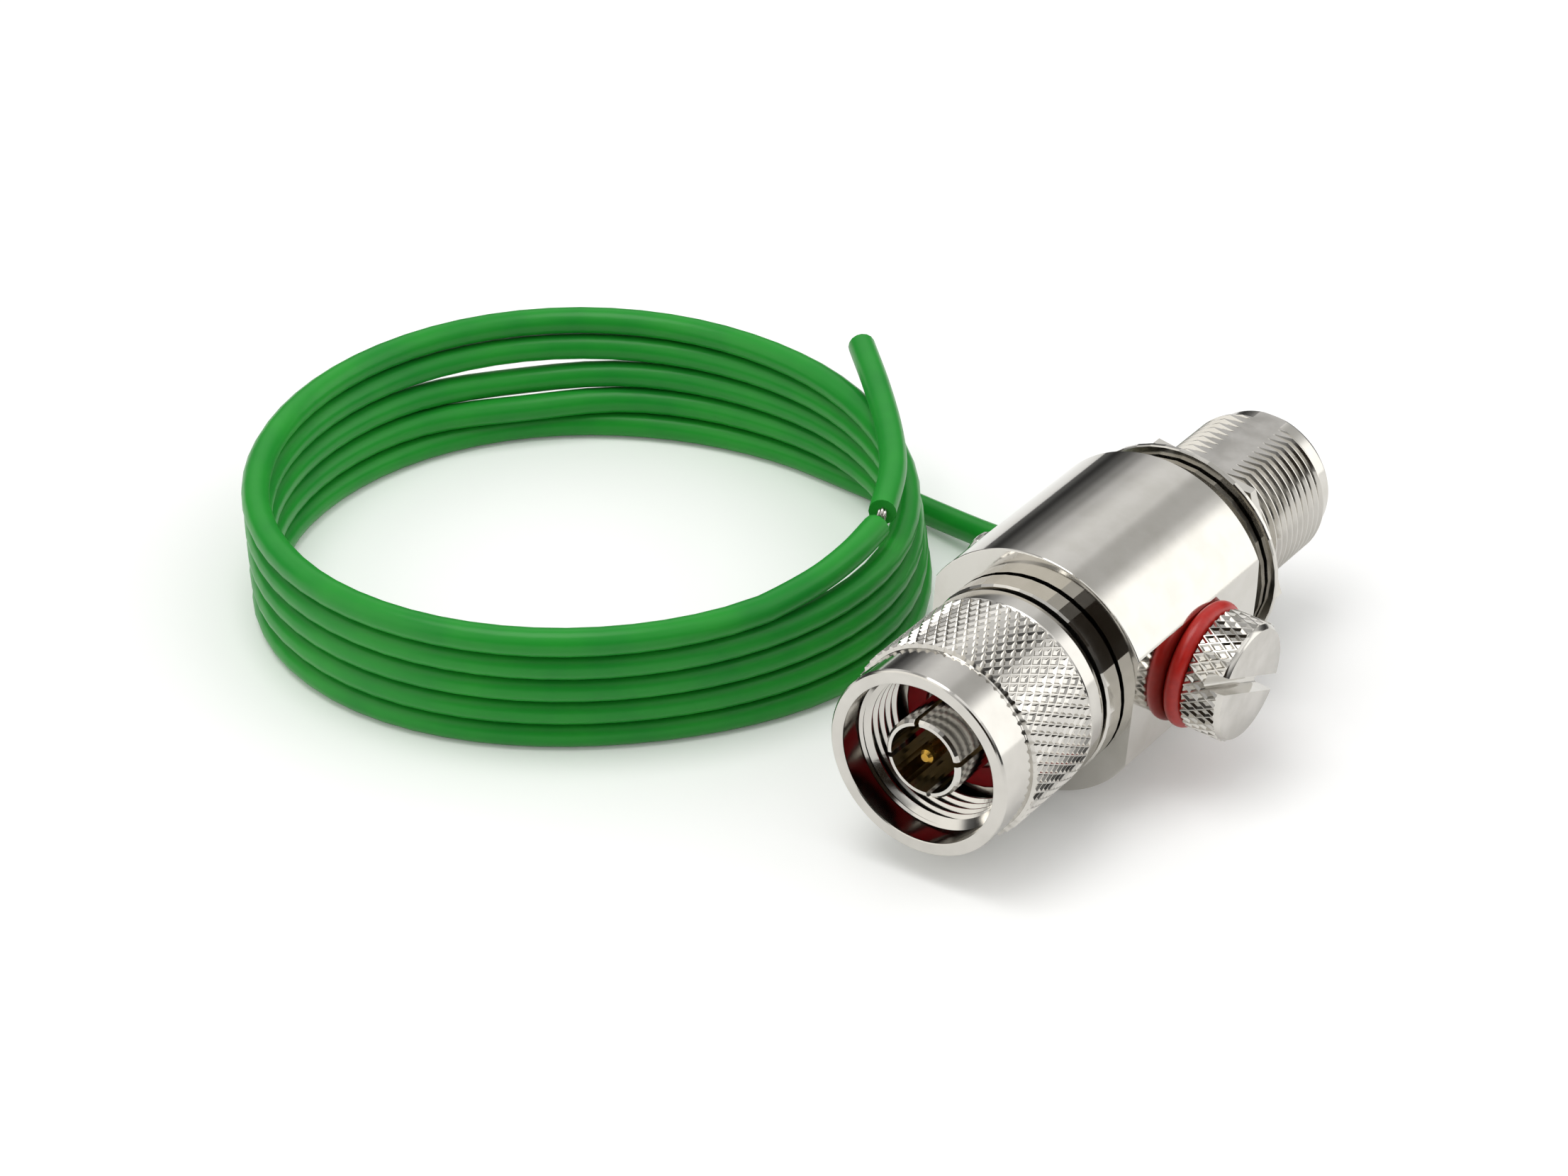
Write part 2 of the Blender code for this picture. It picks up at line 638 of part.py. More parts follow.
def centre_line():
    """Rod, rear insulator and slotted socket on the connector's axis."""
    insulator_rear = JACK_SHOULDER - FIT
    insulator_front = insulator_rear - JACK_INSULATOR_LENGTH
    rod_rear = insulator_front + 1.0
    add_node(turned("centre_rod", [
        (0.0, rod_rear),
        (ROD_RADIUS, rod_rear),
        (ROD_RADIUS, SHELL_REAR + FIT),
        (0.0, SHELL_REAR + FIT),
    ], LINE, FINE_STEPS, closed=False), "gold")

    insulator_bore = SOCKET_RADIUS + FIT
    insulator_radius = LINE_BORE_RADIUS - FIT
    add_node(turned("jack_insulator", [
        (insulator_bore, insulator_rear),
        (insulator_radius, insulator_rear),
        (insulator_radius, insulator_front),
        (insulator_bore, insulator_front),
    ], LINE, FINE_STEPS), "white_plastic")

    bore_end = SOCKET_FRONT - SOCKET_BORE_DEPTH
    socket = turned("jack_socket", [
        (0.0, bore_end),
        (SOCKET_BORE_RADIUS, bore_end),
        (SOCKET_BORE_RADIUS, SOCKET_FRONT),
        (SOCKET_RADIUS - FIT / 2, SOCKET_FRONT),
        (SOCKET_RADIUS, SOCKET_FRONT - FIT / 2),
        (SOCKET_RADIUS, rod_rear + FIT),
        (0.0, rod_rear + FIT),
    ], LINE, FINE_STEPS, closed=False)
    add_node(socket, "gold")
    for index in range(SLOT_COUNT // 2):
        slot = box(
            "socket_slot_cutter_%d" % (index + 1),
            (-SOCKET_RADIUS - CUT_MARGIN, -SOCKET_SLOT_WIDTH / 2, SOCKET_FRONT - SOCKET_SLOT_DEPTH),
            (SOCKET_RADIUS + CUT_MARGIN, SOCKET_SLOT_WIDTH / 2, SOCKET_FRONT + CUT_MARGIN),
            LINE, index * math.tau / SLOT_COUNT)
        boolean(socket, add_cutter(slot))


def gas_tube():
    """Replaceable gas tube: two electrodes on the ends of a ceramic sleeve."""
    add_node(turned("gas_tube_inner_electrode", [
        (0.0, TUBE_T + ELECTRODE_THICKNESS + ELECTRODE_BOSS_HEIGHT),
        (ELECTRODE_BOSS_RADIUS, TUBE_T + ELECTRODE_THICKNESS + ELECTRODE_BOSS_HEIGHT),
        (ELECTRODE_BOSS_RADIUS, TUBE_T + ELECTRODE_THICKNESS),
        (TUBE_RADIUS, TUBE_T + ELECTRODE_THICKNESS),
        (TUBE_RADIUS, TUBE_T),
        (0.0, TUBE_T),
    ], CAP, FINE_STEPS, closed=False), "tin")
    add_node(turned("gas_tube_ceramic", [
        (CERAMIC_BORE_RADIUS, CERAMIC_T + CERAMIC_LENGTH),
        (TUBE_RADIUS, CERAMIC_T + CERAMIC_LENGTH),
        (TUBE_RADIUS, CERAMIC_T),
        (CERAMIC_BORE_RADIUS, CERAMIC_T),
    ], CAP, FINE_STEPS), "ceramic")
    add_node(turned("gas_tube_outer_electrode", [
        (0.0, TUBE_END_T),
        (TUBE_RADIUS, TUBE_END_T),
        (TUBE_RADIUS, OUTER_ELECTRODE_T),
        (ELECTRODE_BOSS_RADIUS, OUTER_ELECTRODE_T),
        (ELECTRODE_BOSS_RADIUS, OUTER_ELECTRODE_T - ELECTRODE_BOSS_HEIGHT),
        (0.0, OUTER_ELECTRODE_T - ELECTRODE_BOSS_HEIGHT),
    ], CAP, FINE_STEPS, closed=False), "tin")


def gas_tube_cap():
    """Slotted, knurled cap with its seal and the spring that loads the tube."""
    cup_floor = CAP_SEAT_T - 2.0
    knurl_start = CAP_SEAT_T + CAP_CHAMFER
    mesh = turned_mesh([
        (0.0, CAP_END_T),
        (CAP_FACE_RADIUS - CAP_CHAMFER, CAP_END_T),
        (CAP_FACE_RADIUS, CAP_END_T - CAP_CHAMFER / 2),
        *reversed(knurl_band(knurl_start, CAP_KNURL_END_T, CAP_KNURL_ROWS, CAP_CREST_RADIUS)),
        (CAP_CREST_RADIUS - 2 * CAP_CHAMFER, CAP_SEAT_T),
        (STEM_RADIUS, CAP_SEAT_T),
        (STEM_RADIUS, STEM_T),
        (STEM_CUP_RADIUS, STEM_T),
        (STEM_CUP_RADIUS, cup_floor),
        (0.0, cup_floor),
    ], CAP_KNURL_COLUMNS, False)
    knurl(mesh, knurl_start, CAP_KNURL_END_T, CAP_KNURL_ROWS, CAP_KNURL_COLUMNS, CAP_KNURL_DEPTH)
    cap = add_node(place(mesh, "cap", CAP), "nickel")
    reach = CAP_CREST_RADIUS + CUT_MARGIN
    slot = box("cap_slot_cutter", (-reach, -CAP_SLOT_WIDTH / 2, CAP_END_T - CAP_SLOT_DEPTH),
               (reach, CAP_SLOT_WIDTH / 2, CAP_END_T + CUT_MARGIN), CAP, CAP_SLOT_ANGLE)
    boolean(cap, add_cutter(slot))

    seal_inner = STEM_RADIUS + FIT
    seal_low = FLAT_OFFSET + FIT
    seal_high = CAP_SEAT_T - FIT
    half_width = (SEAL_OUTER_RADIUS - seal_inner) / 2
    half_height = (seal_high - seal_low) / 2
    section = []
    for index in range(10):
        turn = math.tau * index / 10
        section.append((seal_inner + half_width * (1 + math.cos(turn)),
                        seal_low + half_height * (1 - math.sin(turn))))
    add_node(turned("cap_o_ring", section, CAP, SMALL_STEPS), "orange_rubber")

    low = TUBE_END_T + FIT + SPRING_WIRE_RADIUS
    high = cup_floor - FIT - SPRING_WIRE_RADIUS
    count = round(SPRING_TURNS * 12)
    points = []
    for index in range(count + 1):
        turn = math.tau * SPRING_TURNS * index / count
        points.append((SPRING_RADIUS * math.cos(turn), SPRING_RADIUS * math.sin(turn),
                       low + (high - low) * index / count))
    add_node(tube("contact_spring", points, SPRING_WIRE_RADIUS, CAP, 0), "steel")


def panel_hardware():
    """Internal tooth washer, flat washer and hex nut round the barrel."""
    tooth_radius = BORE_RADIUS
    inner = []
    for index in range(LOCK_WASHER_TEETH):
        start = math.tau * index / LOCK_WASHER_TEETH
        quarter = math.tau / LOCK_WASHER_TEETH / 4
        inner += arc(LOCK_WASHER_RIM_RADIUS, start, start + quarter, 1)
        inner += arc(tooth_radius, start + 1.6 * quarter, start + 3.2 * quarter, 1)
    outer = circle(LOCK_WASHER_RADIUS, SMALL_STEPS)
    add_node(sheet("lock_washer", [outer, inner], LOCK_WASHER_FRONT, LOCK_WASHER_THICKNESS, LINE), "steel")

    washer_rear = WASHER_FRONT + WASHER_THICKNESS
    add_node(turned("flat_washer", [
        (BORE_RADIUS, washer_rear),
        (WASHER_RADIUS - WASHER_EDGE, washer_rear),
        (WASHER_RADIUS, washer_rear - WASHER_EDGE),
        (WASHER_RADIUS, WASHER_FRONT + WASHER_EDGE),
        (WASHER_RADIUS - WASHER_EDGE, WASHER_FRONT),
        (BORE_RADIUS, WASHER_FRONT),
    ], LINE, SHELL_STEPS), "nickel")

    corners = [(radius, turn + HEX_TURN) for radius, turn in
               ((HEX_CORNER_RADIUS, math.tau * index / 6) for index in range(6))]
    outline = [(radius * math.cos(turn), radius * math.sin(turn)) for radius, turn in corners]
    bore = circle(BORE_RADIUS, SHELL_STEPS)
    nut = sheet("hex_nut", [outline, bore], HEX_FRONT, HEX_REAR - HEX_FRONT, LINE)
    add_node(nut, "nickel")
    trim = turned("hex_trim_cutter", [
        (0.0, HEX_REAR + CUT_MARGIN),
        (HEX_CORNER_RADIUS + CUT_MARGIN, HEX_REAR + CUT_MARGIN),
        (HEX_CORNER_RADIUS + CUT_MARGIN, HEX_FRONT + HEX_CHAMFER_RUN * 2),
        (HEX_CHAMFER_RADIUS, HEX_FRONT),
        (HEX_CHAMFER_RADIUS - CUT_MARGIN, HEX_FRONT - CUT_MARGIN),
        (0.0, HEX_FRONT - CUT_MARGIN),
    ], LINE, SHELL_STEPS, closed=False)
    boolean(nut, add_cutter(trim), "INTERSECT")


def ground_hardware():
    """Screw, spring washer and crimped ring terminal on the far flat."""
    dome = []
    for index in range(6):
        turn = math.pi / 2 * index / 5
        dome.append((SCREW_HEAD_RADIUS * math.sin(turn),
                     SCREW_SEAT_T + SCREW_HEAD_HEIGHT * (0.35 + 0.65 * math.cos(turn))))
    screw = turned("ground_screw", [
        *dome,
        (SCREW_HEAD_RADIUS, SCREW_SEAT_T),
        (SCREW_SHANK_RADIUS, SCREW_SEAT_T),
        (SCREW_SHANK_RADIUS, FLAT_OFFSET - SCREW_SHANK_DEPTH + FIT),
        (SCREW_SHANK_RADIUS - FIT, FLAT_OFFSET - SCREW_SHANK_DEPTH),
        (0.0, FLAT_OFFSET - SCREW_SHANK_DEPTH),
    ], SCREW, FINE_STEPS, closed=False)
    add_node(screw, "satin_nickel")
    reach = SCREW_HEAD_RADIUS + CUT_MARGIN
    head_end = SCREW_SEAT_T + SCREW_HEAD_HEIGHT
    slot = box("screw_slot_cutter", (-reach, -SCREW_SLOT_WIDTH / 2, head_end - SCREW_SLOT_DEPTH),
               (reach, SCREW_SLOT_WIDTH / 2, head_end + CUT_MARGIN), SCREW, math.radians(35))
    boolean(screw, add_cutter(slot))

    hole = SCREW_SHANK_RADIUS + FIT
    mouth = SPRING_WASHER_MOUTH / SPRING_WASHER_RADIUS
    outline = arc(SPRING_WASHER_RADIUS, mouth, math.tau - mouth, FINE_STEPS)
    outline += reversed(arc(hole, mouth, math.tau - mouth, FINE_STEPS))
    add_node(sheet("ground_lock_washer", [outline], SPRING_WASHER_T, SPRING_WASHER_THICKNESS, SCREW), "steel")

    half = TERMINAL_NECK_WIDTH / 2
    neck_turn = math.asin(half / TERMINAL_RING_RADIUS)
    eye = arc(TERMINAL_RING_RADIUS, neck_turn, math.tau - neck_turn, FINE_STEPS)
    eye += [(CRIMP_START + 1.0, -half), (CRIMP_START + 1.0, half)]
    turn = Matrix.Rotation(TERMINAL_ANGLE, 4, "Z")
    frame = SCREW @ turn
    terminal = sheet("ring_terminal", [eye, circle(hole, FINE_STEPS)], TERMINAL_T, TERMINAL_THICKNESS, frame)
    add_node(terminal, "tin")
    crimp = tube("crimp_barrel", [
        (CRIMP_START, 0.0, TERMINAL_T + CRIMP_RADIUS),
        (CRIMP_START + CRIMP_LENGTH, 0.0, TERMINAL_T + CRIMP_RADIUS),
    ], CRIMP_RADIUS, frame, 4)
    boolean(terminal, add_cutter(crimp), "UNION")
    exit_point = frame @ (Vector((CRIMP_START + CRIMP_LENGTH, 0.0, TERMINAL_T + CRIMP_RADIUS)) * MM)
    exit_way = frame.to_3x3() @ Vector((1.0, 0.0, 0.0))
    return exit_point / MM, exit_way


def ground_wire(exit_point, exit_way):
    """Green wire: tail from the terminal, coil, cut end, strands and slug."""
    centre = Vector((*COIL_CENTRE, 0.0))
    lead = Vector((math.cos(COIL_LEAD_ANGLE), math.sin(COIL_LEAD_ANGLE), 0.0))
    lead_way = Vector((lead.y, -lead.x, 0.0))
    lying = WIRE_RADIUS + WIRE_LIFT
    joins = centre + lead * COIL_RADIUS + Vector((0.0, 0.0, lying))
    start = exit_point + exit_way * FIT
    route = [
        start,
        start + exit_way * 2.5,
        *LEAD_ROUTE,
        (*LEAD_LANDING, lying),
        joins + lead_way * 7.0,
        joins + lead_way * FIT,
    ]
    add_node(tube("wire_tail", smooth_route(route, 2 * WIRE_RADIUS), WIRE_RADIUS, WORLD),
             "green_plastic", cord=True)

    pitch = 2 * WIRE_RADIUS
    section = []
    for layer in reversed(range(COIL_LAYERS)):
        middle = WIRE_RADIUS + layer * pitch
        for up in (0.5, -0.5, -1.0):
            reach = WIRE_RADIUS * math.sqrt(1.0 - up * up)
            reach = max(reach, WIRE_RADIUS - COIL_VALLEY)
            section.append((reach, middle + up * WIRE_RADIUS))
    top = COIL_LAYERS * pitch
    section[0] = (WIRE_RADIUS * 0.8, top - WIRE_RADIUS * 0.4)
    section[-1] = (WIRE_RADIUS * 0.5, 0.0)
    crown = [(WIRE_RADIUS * 0.5, top)]
    outer = [(COIL_RADIUS + reach, height) for reach, height in crown + section]
    inner = [(COIL_RADIUS - reach, height) for reach, height in reversed(crown + section)]
    coil = turned("wire_coil", outer + inner, COIL, COIL_STEPS)
    add_node(coil, "green_plastic", cord=True)
    lead_angle = COIL_LEAD_ANGLE + math.tau
    for name, start_angle, low, high in (
            ("coil_top_notch_cutter", COIL_TAIL_ANGLE, top - pitch, top + CUT_MARGIN),
            ("coil_foot_notch_cutter", lead_angle - COIL_LEAD_SWEEP, -CUT_MARGIN, pitch + FIT)):
        outline = arc(COIL_RADIUS + pitch, start_angle, lead_angle, FINE_STEPS)
        outline += reversed(arc(COIL_RADIUS - pitch, start_angle, lead_angle, FINE_STEPS))
        boolean(coil, add_cutter(sheet(name, [outline], low, high - low, COIL)))

    tail = Vector((math.cos(COIL_TAIL_ANGLE), math.sin(COIL_TAIL_ANGLE), 0.0))
    tail_way = Vector((-tail.y, tail.x, 0.0))
    leaves = centre + tail * COIL_RADIUS + Vector((0.0, 0.0, top - WIRE_RADIUS + FIT))
    route = [leaves + tail_way * FIT, *map(Vector, FREE_END_ROUTE)]
    add_node(tube("wire_end", smooth_route(route, WIRE_RADIUS), WIRE_RADIUS, WORLD),
             "green_plastic", cord=True)
    wire_way = (route[-1] - route[-2]).normalized()
    slug = [Vector(point) for point in SLUG_ROUTE]
    slug_way = (slug[1] - slug[0]).normalized()
    strands = [route[-1] + wire_way * 2 * FIT, slug[0] - slug_way * 2 * FIT]
    add_node(tube("bare_strands", strands, STRAND_RADIUS, WORLD, 1), "tin", cord=True)
    add_node(tube("insulation_slug", smooth_route(slug, 2 * WIRE_RADIUS), WIRE_RADIUS, WORLD),
             "green_plastic", cord=True)


def centre_on_floor():
    """Stand the connector on the floor with its box centred on the origin."""
    bpy.context.view_layer.update()
    depsgraph = bpy.context.evaluated_depsgraph_get()
    low = Vector((math.inf,) * 3)
    high = Vector((-math.inf,) * 3)
    for made in rigid_nodes:
        mesh = made.evaluated_get(depsgraph).to_mesh()
        for vertex in mesh.vertices:
            where = made.matrix_world @ vertex.co
            low = Vector(map(min, low, where))
            high = Vector(map(max, high, where))
    middle = (low + high) / 2
    shift = Vector((-middle.x, -middle.y, -low.z))
    for made in [*nodes.objects, *cutters.objects]:
        made.location += shift


for existing in list(bpy.data.objects):
    bpy.data.objects.remove(existing)
nodes = collection(NAME, hidden=False)
cutters = collection("cutters", hidden=True)

coupling_nut()
plug()
body()
centre_line()
gas_tube()
gas_tube_cap()
panel_hardware()
ground_wire(*ground_hardware())
centre_on_floor()
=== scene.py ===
import json
import math

import bmesh
import bpy
from mathutils import Matrix, Vector


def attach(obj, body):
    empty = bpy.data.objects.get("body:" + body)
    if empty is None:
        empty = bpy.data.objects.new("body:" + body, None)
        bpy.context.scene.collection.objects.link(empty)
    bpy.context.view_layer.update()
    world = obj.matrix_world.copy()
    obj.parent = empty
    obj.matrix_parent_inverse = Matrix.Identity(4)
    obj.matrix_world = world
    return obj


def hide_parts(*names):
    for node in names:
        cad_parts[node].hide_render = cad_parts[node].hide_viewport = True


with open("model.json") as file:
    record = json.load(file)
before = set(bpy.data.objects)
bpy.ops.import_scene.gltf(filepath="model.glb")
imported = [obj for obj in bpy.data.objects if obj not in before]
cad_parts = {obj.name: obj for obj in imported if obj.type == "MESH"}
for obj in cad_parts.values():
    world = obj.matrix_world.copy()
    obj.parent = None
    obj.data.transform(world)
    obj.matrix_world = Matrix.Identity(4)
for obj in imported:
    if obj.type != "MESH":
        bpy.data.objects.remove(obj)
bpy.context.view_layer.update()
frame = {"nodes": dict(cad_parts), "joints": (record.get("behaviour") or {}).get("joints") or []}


# Camera
# It stands where the photographer's did, above the left front of the connector, with a long lens.
bpy.ops.object.camera_add(location=(-0.33586, -0.19225, 0.24820))
camera = bpy.context.object
camera.rotation_euler = (math.radians(90 - 31.061), 0, math.radians(34.449 - 90))
camera.data.sensor_width = 36
camera.data.lens = 108.03
camera.data.clip_start = 0.01
camera.data.clip_end = 20
bpy.context.scene.camera = camera


# Body and jack barrel
# One piece of turned brass with bright nickel plate. Two flats, the seat of the gas tube and the screw's
# hole are milled into it, and the barrel behind has a screw-cut thread and a flat along its top.
# Pieces are shaped in millimetres along the x axis, from the coupling nut's front face on.
LENGTH = 64.64
ROLL = math.radians(4.64)
AXIS = Vector(next(joint for joint in frame["joints"] if joint["name"] == "coupling_nut_spin")["pos_m"])
CAP_X = 31.18
SCREW_X = 32.5
FLAT = 11.21
TOP_FLAT = 7.08
THREAD_PITCH = 25.4 / 24


def linear(code):
    """Linear colour of a hex sRGB code."""
    values = [int(code[i:i + 2], 16) / 255 for i in (1, 3, 5)]
    return [v / 12.92 if v <= 0.04045 else ((v + 0.055) / 1.055) ** 2.4 for v in values] + [1.0]


def add_node(tree, kind, links=None, steps=(), blend="LINEAR", **settings):
    """Add a node with its settings, and give its inputs values or other nodes' outputs.

    A ramp's steps are pairs of a position and a colour, and blend is how it passes between them.
    """
    made = tree.nodes.new(kind)
    for name, value in settings.items():
        setattr(made, name, value)
    for name, value in (links or {}).items():
        if isinstance(value, bpy.types.NodeSocket):
            tree.links.new(value, made.inputs[name])
        else:
            made.inputs[name].default_value = value
    if steps:
        made.color_ramp.interpolation = blend
        for _ in steps[2:]:
            made.color_ramp.elements.new(0.5)
        for element, (position, colour) in zip(made.color_ramp.elements, steps):
            element.position = position
            element.color = colour
    return made


def start_material(name, roughness, **sockets):
    """Material whose plain values are on the shader's own sockets."""
    material = bpy.data.materials.new(name)
    material.use_nodes = True
    surface = material.node_tree.nodes["Principled BSDF"]
    surface.inputs["Roughness"].default_value = roughness
    for socket, value in sockets.items():
        surface.inputs[socket.replace("_", " ")].default_value = value
    return material, material.node_tree, surface


def plated_metal(name, bright, dull, gloss, wear, marks=(5000, 400, 400), depth=0.0):
    """Plated metal: a warm mirror whose gloss changes a little, with marks left by the tool.

    The marks' scale is in marks per metre. Real ones are 0.05 mm apart and too fine to show, so they
    are drawn 0.2 mm apart, as wide as a few points of the picture.
    """
    material, tree, surface = start_material(name, gloss, Metallic=1.0)
    place = add_node(tree, "ShaderNodeTexCoord").outputs["Object"]
    lines = add_node(tree, "ShaderNodeMapping", {"Vector": place, "Scale": marks}).outputs["Vector"]
    clouds = add_node(tree, "ShaderNodeMapping", {"Vector": place, "Scale": (350,) * 3}).outputs["Vector"]
    mark = add_node(tree, "ShaderNodeTexNoise", {"Vector": lines, "Scale": 1.0, "Detail": 2.0}).outputs["Fac"]
    cloud = add_node(tree, "ShaderNodeTexNoise",
                     {"Vector": clouds, "Scale": 1.0, "Detail": 4.0}).outputs["Fac"]
    tint = add_node(tree, "ShaderNodeValToRGB", {"Fac": cloud}, [(0.35, linear(dull)), (0.6, linear(bright))])
    tree.links.new(tint.outputs["Color"], surface.inputs["Base Color"])
    rough = add_node(tree, "ShaderNodeMapRange", {"Value": cloud, "From Min": 0.3, "From Max": 0.7,
                                                  "To Min": gloss, "To Max": gloss + wear})
    tree.links.new(rough.outputs["Result"], surface.inputs["Roughness"])
    if depth:
        bump = add_node(tree, "ShaderNodeBump", {"Height": mark, "Distance": depth * 0.001, "Strength": 1.0})
        tree.links.new(bump.outputs["Normal"], surface.inputs["Normal"])
    return material


def bright_nickel(name, gloss, depth=0.0005):
    """Bright nickel over fine turning marks: a warm white mirror that blurs what it shows a little."""
    return plated_metal(name, "#ccc9c3", "#c6c3bc", gloss, 0.02, depth=depth)


def pick(piece, test):
    """Select the corners of a piece in edit mode by their place."""
    bpy.ops.mesh.select_mode(type="VERT")
    bpy.ops.mesh.select_all(action="DESELECT")
    work = bmesh.from_edit_mesh(piece.data)
    for corner in work.verts:
        corner.select = test(corner.co)
    work.select_flush(True)
    bmesh.update_edit_mesh(piece.data)


def edit(piece):
    """Enter edit mode on one piece with all of it selected."""
    bpy.ops.object.select_all(action="DESELECT")
    piece.select_set(True)
    bpy.context.view_layer.objects.active = piece
    bpy.ops.object.mode_set(mode="EDIT")
    bpy.ops.mesh.select_all(action="SELECT")


def draw_line(name, corners):
    """Draw a line of (radius, station) corners: a point is extruded from each corner to the next."""
    radius, station = corners[0]
    bpy.ops.object.select_all(action="DESELECT")
    bpy.ops.mesh.primitive_plane_add(size=0.1, location=(station, 0, radius))
    piece = bpy.context.object
    piece.name = name
    bpy.ops.object.transform_apply(location=True, rotation=True, scale=True)
    edit(piece)
    bpy.ops.mesh.merge(type="CENTER")
    for (radius, station), (next_radius, next_station) in zip(corners, corners[1:]):
        step = (next_station - station, 0, next_radius - radius)
        bpy.ops.mesh.extrude_vertices_move(TRANSFORM_OT_translate={"value": step})
    bpy.ops.mesh.select_all(action="SELECT")
    return piece


def turn_on_lathe(name, corners, steps):
    """Spin a line about the x axis. Long walls get a corner near each end, which keeps their gloss flat."""
    held = [corners[0]]
    for (radius, station), (next_radius, next_station) in zip(corners, corners[1:]):
        length = math.hypot(next_radius - radius, next_station - station)
        if length > 0.5 and min(radius, next_radius) > 0:
            for share in (0.06 / length, 1 - 0.06 / length):
                held.append((radius + (next_radius - radius) * share,
                             station + (next_station - station) * share))
        held.append((next_radius, next_station))
    piece = draw_line(name, held)
    bpy.ops.mesh.spin(steps=steps, angle=math.tau, center=(0, 0, 0), axis=(1, 0, 0), use_auto_merge=True)
    bpy.ops.mesh.select_all(action="SELECT")
    bpy.ops.mesh.remove_doubles(threshold=0.0008)
    bpy.ops.mesh.normals_make_consistent(inside=False)
    bpy.ops.object.mode_set(mode="OBJECT")
    return piece


def apply_modifier(piece, kind, **settings):
    """Add a modifier to the active piece and apply it."""
    bpy.context.view_layer.objects.active = piece
    bpy.ops.object.modifier_add(type=kind)
    step = piece.modifiers[-1]
    for name, value in settings.items():
        setattr(step, name, value)
    bpy.ops.object.modifier_apply(modifier=step.name)


def cut_with(piece, tool):
    """Cut a tool's shape out of a piece and throw the tool away."""
    apply_modifier(piece, "BOOLEAN", operation="DIFFERENCE", solver="EXACT", object=tool)
    bpy.data.objects.remove(tool)


def thread_tool(mouth, root, start, turns, pitch):
    """Threading tool: its V section is wound along the thread. Mouth is its radius out in the air."""
    wide = pitch * 0.492
    narrow = pitch * 0.084
    tool = draw_line("thread_tool", [(mouth, start - wide), (root, start - narrow), (root, start + narrow),
                                     (mouth, start + wide)])
    bpy.ops.mesh.edge_face_add()
    bpy.ops.object.mode_set(mode="OBJECT")
    apply_modifier(tool, "SCREW", axis="X", screw_offset=pitch, iterations=turns, steps=96, render_steps=96,
                   use_merge_vertices=False, use_normal_calculate=True)
    edit(tool)
    bpy.ops.mesh.remove_doubles(threshold=0.0008)
    bpy.ops.mesh.select_all(action="SELECT")
    bpy.ops.mesh.fill_holes(sides=4)
    bpy.ops.mesh.select_all(action="SELECT")
    bpy.ops.mesh.normals_make_consistent(inside=False)
    bpy.ops.object.mode_set(mode="OBJECT")
    return tool


def set_in_place(piece, turn=0.0, along=0.0):
    """Bring a piece from its own millimetres to its place in the frame, and smooth its round faces."""
    place = Matrix.Translation((AXIS.x, AXIS.y, AXIS.z))
    place.translation.x = -LENGTH / 2 * 0.001
    piece.matrix_world = (place @ Matrix.Rotation(ROLL, 4, "X") @ Matrix.Translation((along * 0.001, 0, 0))
                          @ Matrix.Rotation(turn, 4, "Z") @ Matrix.Scale(0.001, 4))
    bpy.ops.object.select_all(action="DESELECT")
    piece.select_set(True)
    bpy.context.view_layer.objects.active = piece
    bpy.ops.object.transform_apply(location=True, rotation=True, scale=True)
    bpy.ops.object.shade_smooth_by_angle(angle=math.radians(20))


body = turn_on_lathe("arrestor_body", [
    (3.5, 24.04), (6.8, 24.04), (6.8, 19.54), (12.55, 19.54), (12.66, 19.57), (12.7, 19.66), (12.7, 41.95),
    (12.62, 42.08), (11.3, 42.57), (8.2, 42.57), (7.4, 42.8), (7.24, 43.0), (7.24, 43.7), (7.9375, 44.4),
    (7.9375, 62.25), (7.24, 62.95), (7.24, 63.1), (7.24, 64.35), (7.18, 64.52), (7.04, 64.62), (6.84, 64.64),
    (4.5, 64.64), (4.3, 64.58), (4.25, 64.45), (4.25, 55.44), (3.5, 55.44), (3.5, 24.04),
], 192)
edit(body)
bpy.ops.mesh.bisect(plane_co=(0, -FLAT, 0), plane_no=(0, -1, 0), use_fill=True, clear_outer=True)
bpy.ops.mesh.select_all(action="SELECT")
bpy.ops.mesh.bisect(plane_co=(0, FLAT, 0), plane_no=(0, 1, 0), use_fill=True, clear_outer=True)
bpy.ops.object.mode_set(mode="OBJECT")
cut_with(body, thread_tool(8.03, 7.27, 43.4, 19, THREAD_PITCH))
bpy.ops.mesh.primitive_cube_add(size=1, location=(54.98, 0, 11.54), scale=(24, 30, 8.92))
cut_with(body, bpy.context.object)
bpy.ops.mesh.primitive_cylinder_add(vertices=96, radius=4.8, depth=13.5, location=(CAP_X, -8.25, 0),
                                    rotation=(math.radians(90), 0, 0))
cut_with(body, bpy.context.object)
bpy.ops.mesh.primitive_cylinder_add(vertices=48, radius=1.65, depth=9.8, location=(SCREW_X, 10.1, 0),
                                    rotation=(math.radians(90), 0, 0))
cut_with(body, bpy.context.object)

# The barrel's plate is duller than the body's, and its top flat is matt from the milling cutter.
body.data.materials.clear()
body.data.materials.append(bright_nickel("body_nickel", 0.07))
body.data.materials.append(bright_nickel("barrel_nickel", 0.12))
body.data.materials.append(plated_metal("milled_nickel", "#d2cfca", "#bebbb5", 0.36, 0.1,
                                        (2500, 2500, 2500), 0.003))
for face in body.data.polygons:
    behind = face.center.x > 42.9
    on_top = behind and face.normal.z > 0.999 and abs(face.center.z - TOP_FLAT) < 0.02
    outside = math.hypot(face.center.y, face.center.z) > 6.5
    face.material_index = 2 if on_top else 1 if behind and outside else 0
set_in_place(body)
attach(body, "connector")
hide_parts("body")


